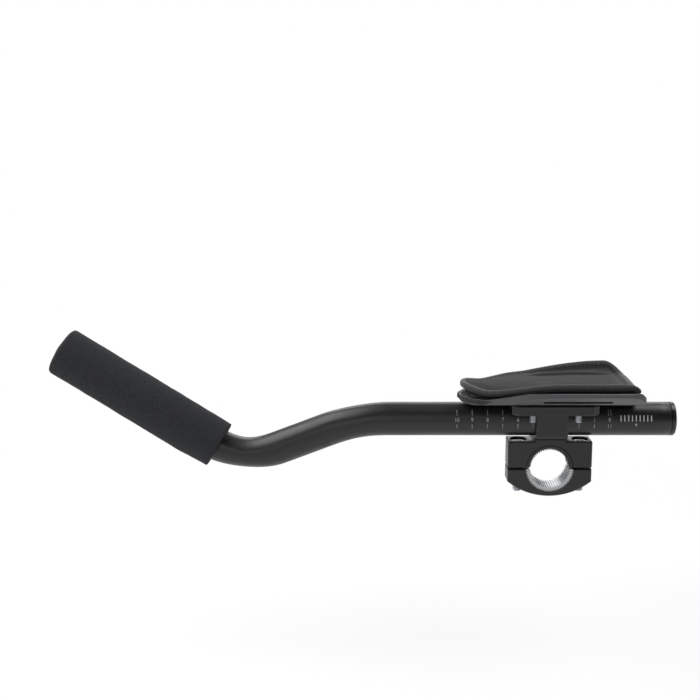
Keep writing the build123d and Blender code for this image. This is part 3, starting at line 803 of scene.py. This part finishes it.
def pad_rings():
    """Rings from the middle of the underside, round the edge and back to the middle of the top."""
    edge = pad_plan(PAD_INSET + BINDING_WIDTH * TUCK_SHARE, PAD_POINTS)
    spine = [(min(max(x, SPINE_FRONT), SPINE_REAR), 0.0) for x, y in edge]
    under, over = [], []
    for share in RING_SHARES:
        ring = [(cx + (x - cx) * share, y * share) for (x, y), (cx, _) in zip(edge, spine)]
        gaps = [math.dist(p, q) for p, q in zip(ring, edge)]
        under.append([(x, y, pad_under(x, y) + ROOM_UNDER) for x, y in ring])
        over.append([(x, y, pad_over(x, y, gap) - ROOM_OVER) for (x, y), gap in zip(ring, gaps)])
    return under + over[::-1]


pad = piece("forearm_pad", *skin(pad_rings()), knit, "clamp", "pad_fabric")


# %% Cloth on the pad
VOXEL = 2.0
PUFF_FRAMES = 20
PUFF_CAP = 1.2
PUFF_PRESSURE = 4.0
COVER_FROM = 1.8


def baked(thing):
    """Mesh of an object with its modifiers, as it is at this frame."""
    return bpy.data.meshes.new_from_object(thing.evaluated_get(bpy.context.evaluated_depsgraph_get()))


def puff(thing):
    """Swells a closed cover with cloth pressure and keeps each point near its start."""
    net = thing.modifiers.new("net", "REMESH")
    net.mode, net.voxel_size = "VOXEL", VOXEL * MM
    thing.data = baked(thing)
    thing.modifiers.clear()
    start = [v.co.copy() for v in thing.data.vertices]
    held = [i for i, p in enumerate(start) if p.z / MM < pad_under(p.x / MM, p.y / MM) + COVER_FROM]
    thing.vertex_groups.new(name="held").add(held, 1.0, "REPLACE")
    cloth = thing.modifiers.new("cloth", "CLOTH")
    cloth.settings.use_pressure = True
    cloth.settings.uniform_pressure_force = PUFF_PRESSURE
    cloth.settings.vertex_group_mass = "held"
    cloth.settings.effector_weights.gravity = 0.0
    for step in range(1, PUFF_FRAMES + 1):
        bpy.context.scene.frame_set(step)
    thing.data = baked(thing)
    thing.modifiers.clear()
    bpy.context.scene.frame_set(1)
    moved = 0.0
    for vertex, old in zip(thing.data.vertices, start):
        shift = vertex.co - old
        if shift.length > PUFF_CAP * MM:
            vertex.co = old + shift.normalized() * PUFF_CAP * MM
        moved = max(moved, (vertex.co - old).length)
    thing.vertex_groups.clear()
    print("cover swelled by up to", round(moved / MM, 2), "mm on", len(start), "points")


puff(pad)

# %% [markdown]
# Where the flat middle turns up into the sides, the cover wrinkles in long soft folds, and a hem is sewn
# across the rear. A net fine enough to fold by itself would take far longer, so they come after the cloth, as
# shallow dents: the folds run along X and fade at both ends, the hem is a groove with a sunk band behind it.
# Behind the deepest fold the cover bulges, so its depth is negative there. One subdivision then smooths the
# net.


# %% Folds of the cover
HEM_WIDTH, HEM_DEEP, HEM_SINK = 7.5, 1.3, 0.4
HEM_GROOVE, HEM_STEP = 1.3, 1.5
FOLD_SWAY, FOLD_WAVE, FOLD_FADE = 1.2, 17.0, 14.0
SLACK, SLACK_X, SLACK_Y, SLACK_SLICE = 0.12, 16.0, 6.0, 3.0
# Y, first X, last X, depth and width of each fold
FOLDS = ((15.0, -18.0, 48.0, 1.5, 1.3), (19.5, -16.0, 48.0, -0.9, 2.4), (-17.0, -10.0, 42.0, 0.45, 1.6),
         (9.0, -24.0, 8.0, 0.2, 2.2))


def fold_depth(x, y):
    """How far the rear hem and the long folds dent the cover at a place."""
    to_rear = CUP_REAR_X - PAD_INSET - x
    depth = HEM_DEEP * math.exp(-((to_rear - HEM_WIDTH) / HEM_GROOVE) ** 2)
    depth += HEM_SINK * falling(to_rear, HEM_WIDTH, HEM_STEP)
    for fold_y, x_from, x_to, deep, wide in FOLDS:
        bend = fold_y + FOLD_SWAY * math.sin(x / FOLD_WAVE)
        ends = rising(x, x_from, FOLD_FADE) * falling(x, x_to, FOLD_FADE)
        depth += deep * ends * math.exp(-((y - bend) / wide) ** 2)
    return depth


for vertex in pad.data.vertices:
    x, y, z = vertex.co / MM
    if z > pad_under(x, y) + COVER_FROM:
        slack = SLACK * noise.noise(Vector((x / SLACK_X, y / SLACK_Y, SLACK_SLICE)))
        vertex.co.z += (slack - fold_depth(x, y)) * MM
pad.data.polygons.foreach_set("use_smooth", [True] * len(pad.data.polygons))
pad.modifiers.new("smooth", "SUBSURF").render_levels = 1
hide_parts("arm_pad")
print("deepest dent", round(max(fold_depth(v.co.x / MM, v.co.y / MM) for v in pad.data.vertices), 2), "mm")

# %% [markdown]
# ## Bound edge
# A ribbed tape is folded over the raw edge and sewn through. It reads as a soft roll, a little thicker than
# the pad's edge, and is pulled flatter along the rear hem and the inner side. The roll is a flattened ring
# walked along the outline and tilted with the slope of the pad below it. Each station also gets UVs in
# millimetres, so that the ribs lie across the tape all the way round.


# %% Edge roll
ROLL_HALF_WIDTH = BINDING_WIDTH / 2
ROLL_HALF_HEIGHT = 2.05
REAR_FLAT, REAR_FLAT_FADE = 0.3, (40.0, 10.0)
INNER_FLAT, INNER_SINK, INNER_FADE = 0.36, 0.15, (6.0, 14.0)
SLOPE_STEP, SLOPE_SHARE = 0.5, 0.7
ROLL_POINTS, ROLL_STATIONS = 16, 300
ROLL_SQUARE = 0.8
STITCH_PITCH, STITCH_SWELL = 3.2, 0.03
ROLL_UNEVEN, ROLL_WAVE = 0.05, 11.0


def heading(line, i):
    """Directions along a line and out of it at one of its points."""
    (ax, ay), (bx, by) = line[i - 1], line[(i + 1) % len(line)]
    along = Vector((bx - ax, by - ay, 0)).normalized()
    return along, Vector((along.y, -along.x, 0))


def edge_frames(inset, count):
    """Point, outward direction, tilted upward direction and travel at stations round the pad's edge."""
    line = pad_plan(inset, count)
    frames, travel = [], 0.0
    for i, (x, y) in enumerate(line):
        along, out = heading(line, i)
        dx, dy = out.x * SLOPE_STEP, out.y * SLOPE_STEP
        rise = pad_under(x + dx, y + dy) - pad_under(x - dx, y - dy)
        slope = SLOPE_SHARE * math.atan(rise / (2 * SLOPE_STEP))
        lean = Vector((out.x * math.cos(slope), out.y * math.cos(slope), math.sin(slope)))
        up = Vector((-out.x * math.sin(slope), -out.y * math.sin(slope), math.cos(slope)))
        middle = Vector((x, y, pad_under(x, y) + PAD_EDGE / 2 - INNER_SINK * rising(y, *INNER_FADE)))
        frames.append((middle, lean, up, along, travel))
        travel += math.dist((x, y), line[(i + 1) % count])
    return frames


def roll_height(at):
    """Half height of the roll: it is pulled flat along the rear hem and the inner side."""
    rear = 1 - REAR_FLAT * rising(at.x, *REAR_FLAT_FADE)
    inner = 1 - INNER_FLAT * rising(at.y, *INNER_FADE)
    return ROLL_HALF_HEIGHT * min(rear, inner)


def roll_ring(middle, lean, up, travel):
    """One flattened ring of the roll, with a slight swell between stitches."""
    swell = 1 + STITCH_SWELL * math.sin(travel * 2 * math.pi / STITCH_PITCH)
    swell += ROLL_UNEVEN * noise.noise(Vector((travel / ROLL_WAVE, 0, 0)))
    swell *= roll_height(middle)
    ring = []
    for a in circle(ROLL_POINTS):
        across = ROLL_HALF_WIDTH * math.copysign(abs(math.cos(a)) ** ROLL_SQUARE, math.cos(a))
        height = swell * math.copysign(abs(math.sin(a)) ** ROLL_SQUARE, math.sin(a))
        ring.append(middle + lean * across + up * height)
    return ring


print("roll is", 2 * ROLL_HALF_WIDTH, "mm wide and up to", 2 * ROLL_HALF_HEIGHT, "mm high")


# %% Roll with its UVs
stations = edge_frames(PAD_INSET + ROLL_HALF_WIDTH, ROLL_STATIONS)
roll = piece("bound_edge", *skin([roll_ring(m, lean, up, t) for m, lean, up, _, t in stations], loop=True),
             edge_tape, "clamp", "pad_fabric")
length = stations[-1][4] + edge_length / ROLL_STATIONS
along_uv = roll.data.uv_layers.new(name="along").data
for face in roll.data.polygons:
    ring_of = [roll.data.loops[i].vertex_index // ROLL_POINTS for i in face.loop_indices]
    wraps = max(ring_of) - min(ring_of) > 1
    for i, ring in zip(face.loop_indices, ring_of):
        at = length if wraps and ring == 0 else stations[ring][4]
        along_uv[i].uv = (at, roll.data.loops[i].vertex_index % ROLL_POINTS)
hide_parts("pad_binding")
print("tape is", round(length), "mm round")

# %% [markdown]
# ## Stitches
# A lockstitch runs along the inner side of the tape. Each stitch is a short thread that dives into the
# cloth at both ends, so it is a small spindle laid along the outline.


# %% Stitch row
STITCH_LENGTH, STITCH_DIVE = 2.5, 0.35
THREAD_R, THREAD_POINTS = 0.3, 8
# where the rings of a stitch lie, and how blunt its ends are
STITCH_RINGS, BLUNT = (-1.0, -0.8, -0.35, 0.0, 0.35, 0.8, 1.0), 0.06
# where the row lies: in from the tape's edge, and up the roll
STITCH_IN, STITCH_SHARE = 0.8, 0.86


def spindle(middle, along, up, across):
    """Short thread, thick in the middle and sunk at both ends."""
    rings = []
    for t in STITCH_RINGS:
        radius = THREAD_R * math.sqrt(max(BLUNT, 1 - t * t))
        at = middle + along * (t * STITCH_LENGTH / 2) - up * (STITCH_DIVE * t * t)
        rings.append(oval(at, across, radius, up, radius, THREAD_POINTS))
    return skin(rings)


count = round(edge_length / STITCH_PITCH)
row = edge_frames(PAD_INSET + BINDING_WIDTH - STITCH_IN, count)
lay = [spindle(m + up * (roll_height(m) * STITCH_SHARE), along, up, lean) for m, lean, up, along, _ in row]
piece("edge_stitches", *merge(lay), thread, "clamp", "pad_fabric")
print(count, "stitches")

# %% [markdown]
# ## Hooks of the tape
# The front tape shows under the pad's raised nose as a field of tiny hooks. Each is a bent nylon wire about
# 0.2 mm thick, drawn at 0.44 mm so that it shows. Only the strip that the loop tape leaves bare gets hooks.


# %% One hook
UP = Vector((0, 0, 1))
HOOK_HEIGHT, HOOK_R, HOOK_POINTS = 1.05, 0.22, 6
# way out, way up and lean of the wire at each ring
HOOK_BEND = ((0.0, -0.05, 0.0), (0.02, 0.45, 0.1), (0.14, 0.75, 0.6), (0.34, 0.9, 1.3), (0.5, 0.72, 2.2))


def hook(foot, up, face):
    """Small bent wire that stands on the tape along up and curls over towards face."""
    side = up.cross(face)
    rings = []
    for out, rise, lean in HOOK_BEND:
        across = face * math.cos(lean) - up * math.sin(lean)
        middle = foot + (face * out + up * rise) * HOOK_HEIGHT
        rings.append(oval(middle, across, HOOK_R, side, HOOK_R, HOOK_POINTS))
    return skin(rings)


print("a hook has", len(hook(Vector((0, 0, 0)), UP, Vector((1, 0, 0)))[1]), "faces")


# %% Hook field
HOOK_PITCH, HOOK_SCATTER, SCATTER_SIZE = 1.35, 0.6, 2.3
TAPE_MARGIN, FIRST_X, FIRST_Y, LAST_Y = 0.4, 0.5, 0.6, 0.5
TAPE_POINTS = 120


def inside(x, y, line):
    """Whether a place lies inside a closed line."""
    hit = False
    for (ax, ay), (bx, by) in zip(line, line[1:] + line[:1]):
        if (ay > y) != (by > y) and x < ax + (y - ay) / (by - ay) * (bx - ax):
            hit = not hit
    return hit


tape_low, tape_high = corners("hook_tape_front")
tape_edge = plan(tape_low.x - CUP_FRONT_X + TAPE_MARGIN, TAPE_POINTS)
bare_edge = plan(corners("loop_tape_front")[0].x - CUP_FRONT_X - TAPE_MARGIN, TAPE_POINTS)
wires = []
for i in range(int((tape_high.x - tape_low.x) / HOOK_PITCH)):
    for j in range(int((tape_high.y - tape_low.y - 2 * TAPE_MARGIN) / HOOK_PITCH)):
        x = tape_low.x + FIRST_X + i * HOOK_PITCH
        y = tape_low.y + FIRST_Y + (j + 0.5 * (i % 2)) * HOOK_PITCH
        if inside(x, y, tape_edge) and not inside(x, y, bare_edge) and y < tape_high.y - LAST_Y:
            scatter = noise.noise(Vector((x / SCATTER_SIZE, y / SCATTER_SIZE, 0.0)))
            turn = math.pi * (i % 2) + HOOK_SCATTER * scatter
            face = Vector((math.cos(turn), math.sin(turn), 0))
            wires.append(hook(Vector((x, y, HOOK_Z)), UP, face))
print(len(wires), "hooks on the floor")

# %% [markdown]
# At the nose the tape is turned down over the cup's edge, so the edge looks black and rough there. The
# turned-down part is a thin band along the outline, tapered to nothing at both ends, with rows of hooks
# that point outward.

# %% Tape turned over the nose
WRAP_TOP, WRAP_LOW = HOOK_Z - 0.2, corners("arm_cup")[0].z + 1.3
WRAP_THICK, WRAP_IN = 0.4, 1.3
WRAP_END_X, WRAP_FADE = -40.0, 9.0
WRAP_ROWS, ROW_FROM, ROW_STEP, ROW_CLEAR = 3, 0.7, 1.25, 0.5
WRAP_POINTS = 400
outline = plan(0.0, WRAP_POINTS)
half_way = WRAP_POINTS // 2
wrap_line = [p for p in outline[half_way:] + outline[:half_way] if p[0] < WRAP_END_X]
bands, rows = [], []
for i, (x, y) in enumerate(wrap_line[1:-1], 1):
    along, out = heading(wrap_line, i)
    hang = falling(x, WRAP_END_X, WRAP_FADE)
    low = WRAP_TOP - (WRAP_TOP - WRAP_LOW) * hang
    at = Vector((x, y, 0))
    inner, outer = at - out * WRAP_IN, at + out * (WRAP_THICK * hang)
    bands.append([inner + UP * HOOK_Z, outer + UP * HOOK_Z, outer + UP * low, at + UP * low])
    for row in range(WRAP_ROWS):
        z = HOOK_Z - ROW_FROM - row * ROW_STEP
        if (i + row) % 2 == 0 and z > low + ROW_CLEAR:
            rows.append(hook(outer + UP * z, out, along * (1 if row % 2 else -1)))
piece("tape_over_nose", *skin(bands), hook_nylon, "clamp", "hook_tape", crease=40)
piece("tape_hooks", *merge(wires + rows), hook_nylon, "clamp", "hook_tape")
print(len(rows), "hooks on the nose")

# %% [markdown]
# ## Slide scale
# The straight run carries a scale with a mark every 10 mm, so the rider can set both sides alike. The numbers
# are plain figures. A picture wrapped on the tube would do, but it blurs up close. Etching and print hardly
# stand out from the skin, so each mark is a plate only 0.04 mm thick, bent round the tube. Blender's own
# font gives the figures: they are turned to meshes, cut into low strips so that they can bend, and then
# wrapped.


# %% Marks bent round the tube
INK_LOW, INK_HIGH = 0.005, 0.045
SCALE_ZERO_X = 37.9
SCALE_STEP = 10.0
SCALE_MARKS = 11
LINE_WIDTH, ZERO_GAP, LINE_STEPS = 0.3, 0.8, 6
# degrees up the tube's side: from and to for the lines, the middle for the figures
UPPER_LINE, LOWER_LINE, DIGIT_DEG = (24, 45), (-21, -5), 9
# cap height, the font's own cap height at size 1, width as a share of the font's, cuts that let a figure bend
DIGIT_HEIGHT, CAP_SHARE, DIGIT_WIDTH, DIGIT_STRIPS = 2.7, 0.7, 0.86, 9


def on_tube(x, angle, proud):
    """Point on the tube's outer side: angle is measured up from the side that faces outward."""
    r = TUBE_R + proud
    return (x, -r * math.cos(angle), TUBE_Z + r * math.sin(angle))


def mark(x, width, low_deg, high_deg):
    """Thin bar that runs round the tube."""
    rings = []
    for i in range(LINE_STEPS + 1):
        a = math.radians(low_deg + (high_deg - low_deg) * i / LINE_STEPS)
        rings.append([on_tube(x - width / 2, a, INK_LOW), on_tube(x + width / 2, a, INK_LOW),
                      on_tube(x + width / 2, a, INK_HIGH), on_tube(x - width / 2, a, INK_HIGH)])
    return skin(rings)


def figure(text, x, middle_deg):
    """A number as a thin plate bent round the tube."""
    font = bpy.data.curves.new("figure", "FONT")
    font.body, font.align_x, font.align_y = text, "CENTER", "CENTER"
    # the extrusion only tells the outside from the inside, and the plate's own thickness comes later
    font.size, font.extrude, font.resolution_u = DIGIT_HEIGHT / CAP_SHARE, 0.02, 3
    holder = linked("figure", font)
    flat = baked(holder)
    bpy.data.objects.remove(holder)
    plate = bmesh.new()
    plate.from_mesh(flat)
    bmesh.ops.remove_doubles(plate, verts=plate.verts, dist=1e-5)
    for i in range(DIGIT_STRIPS):
        cut = (i - DIGIT_STRIPS // 2) * DIGIT_HEIGHT / DIGIT_STRIPS
        every = plate.verts[:] + plate.edges[:] + plate.faces[:]
        bmesh.ops.bisect_plane(plate, geom=every, plane_co=(0, cut, 0), plane_no=(0, 1, 0))
    plate.verts.index_update()
    points = []
    for v in plate.verts:
        angle = math.radians(middle_deg) + v.co.y / TUBE_R
        points.append(on_tube(x + v.co.x * DIGIT_WIDTH, angle, INK_HIGH if v.co.z > 0 else INK_LOW))
    faces = [tuple(v.index for v in face.verts) for face in plate.faces]
    plate.free()
    return points, faces


print("a mark has", len(mark(0.0, LINE_WIDTH, *UPPER_LINE)[1]), "faces")


# %% Slide scale
print_shapes = []
for i in range(SCALE_MARKS):
    x = SCALE_ZERO_X - i * SCALE_STEP
    lines = (x - ZERO_GAP, x + ZERO_GAP) if i == 0 else (x,)
    for line in lines:
        print_shapes += [mark(line, LINE_WIDTH, *UPPER_LINE), mark(line, LINE_WIDTH, *LOWER_LINE)]
    print_shapes.append(figure(str(i), x, DIGIT_DEG))
piece("slide_scale_print", *merge(print_shapes), scale_ink, "extension", crease=30)

# %% [markdown]
# Behind the scale the tube carries a small limit mark: it shows how far the tube may be drawn forward. Here
# it is a plain row of strokes.

# %% Limit mark
LIMIT_FROM_X, LIMIT_TO_X, LIMIT_STROKES = 45.2, 65.2, 9
LIMIT_WIDTH, STROKE_DEG, MIDDLE_DEG = 0.6, (4, 25), (-12, -3)
limit_shapes = []
for i in range(LIMIT_STROKES):
    x = LIMIT_FROM_X + (LIMIT_TO_X - LIMIT_FROM_X) * i / (LIMIT_STROKES - 1)
    limit_shapes.append(mark(x, LIMIT_WIDTH, *STROKE_DEG))
limit_shapes.append(mark((LIMIT_FROM_X + LIMIT_TO_X) / 2, LIMIT_WIDTH, *MIDDLE_DEG))
piece("limit_mark_print", *merge(limit_shapes), mark_ink, "extension", crease=30)

# %% [markdown]
# ## Stage
# The part is held in the air by its clamp, so the floor lies a little below it and catches a wide, faint
# shadow. The floor is a pale matt sheet. Far from the part, and only as the camera or a mirror sees it, it
# fades to plain white, so no horizon shows. The world is white to the camera, but lights the part with much
# less, and with less from the front than from behind, so that the black parts stay dark.

# %% Floor
FLOOR_DROP = 0.09
FLOOR_HALF = 4.0
FADE_FROM, FADE_TO = 0.12, 0.55
WHITE = (1.0, 1.0, 1.0, 1.0)
middle = (cad_box[0] + cad_box[1]) / 2
floor_z = cad_box[0].z - FLOOR_DROP

sheet_look, tree, shader, place, _ = toned("matt_pale_paper", "#f3f3f2", "#f7f7f6", 3.0, 3.0)
feed(tree, shader, {"Roughness": 0.9, "Specular IOR Level": 0.1})
reach = add(tree, "VectorMath", {0: place, 1: (middle.x, middle.y, floor_z)}, operation="DISTANCE")
far = add(tree, "MapRange", {"Value": reach.outputs["Value"], "From Min": FADE_FROM, "From Max": FADE_TO,
                             "To Min": 0.72, "To Max": 1.0}, interpolation_type="SMOOTHSTEP")
ray = add(tree, "LightPath", {}).outputs
seen = ray["Is Camera Ray"]
for kind in ("Is Glossy Ray", "Is Transmission Ray"):
    seen = add(tree, "Math", {0: seen, 1: ray[kind]}, operation="MAXIMUM").outputs["Value"]
share = add(tree, "Math", {0: seen, 1: far.outputs["Result"]}, operation="MULTIPLY")
white = add(tree, "Emission", {"Color": WHITE, "Strength": 1.0})
mixed = add(tree, "MixShader", {"Fac": share.outputs["Value"], 1: shader.outputs["BSDF"],
                                2: white.outputs["Emission"]})
feed(tree, tree.nodes["Material Output"], {"Surface": mixed.outputs["Shader"]})

floor_mesh = bpy.data.meshes.new("floor")
signs = ((-1, -1), (1, -1), (1, 1), (-1, 1))
floor_mesh.from_pydata([(sx * FLOOR_HALF, sy * FLOOR_HALF, floor_z) for sx, sy in signs], [], [(0, 1, 2, 3)])
floor_mesh.materials.append(sheet_look)
floor = linked("floor", floor_mesh)
print("floor at", round(floor_z / MM), "mm")

# %% World
world = bpy.data.worlds.new("studio")
bpy.context.scene.world = world
world.use_nodes = True
tree = world.node_tree
tree.nodes.clear()
ray = add(tree, "LightPath", {}).outputs
seen = add(tree, "Math", {0: ray["Is Camera Ray"], 1: ray["Is Transmission Ray"]}, operation="MAXIMUM")
side = add(tree, "SeparateXYZ", {"Vector": add(tree, "TexCoord", {}).outputs["Generated"]})
level = add(tree, "MapRange", {"Value": side.outputs["Y"], "From Min": -0.8, "From Max": 0.4,
                               "To Min": 0.04, "To Max": 0.3}, interpolation_type="SMOOTHSTEP")
fill = add(tree, "Background", {"Color": WHITE, "Strength": level.outputs["Result"]})
backdrop = add(tree, "Background", {"Color": WHITE, "Strength": 1.0})
mixed = add(tree, "MixShader", {"Fac": seen.outputs["Value"], 1: fill.outputs["Background"],
                                2: backdrop.outputs["Background"]})
add(tree, "OutputWorld", {"Surface": mixed.outputs["Shader"]})
print("world has", len(tree.nodes), "nodes")

# %% [markdown]
# ## Light and camera
# The highlights on the real tube are long and soft, along its top and a thinner one low on its side: a wide
# soft box overhead on the left, weaker ones in front, behind and on the right. The camera stands about 0.9
# m away, a little above, as for a product picture with a short telephoto lens.

# %% Lamps
# place and size in metres, and watts
LAMPS = {
    "upper_left": ((-0.75, 0.05, 0.85), (1.1, 0.9), 12.5),
    "front": ((-0.35, -1.10, 0.45), (0.9, 0.6), 2.5),
    "rear": ((0.10, 1.10, 0.55), (1.2, 0.5), 5.0),
    "upper_right": ((0.24, 0.06, 0.45), (0.25, 0.25), 1.0),
}
for name, (place_at, (wide, deep), watts) in LAMPS.items():
    lamp = bpy.data.lights.new(name, "AREA")
    lamp.shape, lamp.size, lamp.size_y, lamp.energy = "RECTANGLE", wide, deep, watts
    holder = linked(name, lamp)
    holder.location = place_at
    holder.rotation_euler = (middle - Vector(place_at)).to_track_quat("-Z", "Y").to_euler()
    print(name, "lamp", watts, "W")

# %% Camera
CAMERA_AT = Vector((-132.1, -867.2, 254.8))
CAMERA_PITCH = 11.5
FOCAL_PX, PICTURE_PX, SENSOR = 1350.0, 700.0, 36.0
lens = bpy.data.cameras.new("camera")
lens.sensor_width, lens.lens = SENSOR, SENSOR * FOCAL_PX / PICTURE_PX
camera = linked("camera", lens)
camera.location = CAMERA_AT * MM
camera.rotation_euler = (math.radians(90 - CAMERA_PITCH), 0.0, 0.0)
lens.clip_start, lens.clip_end = 0.05, 50.0
bpy.context.scene.camera = camera
bpy.context.scene.view_settings.view_transform = "Standard"
print("lens", round(lens.lens, 1), "mm")
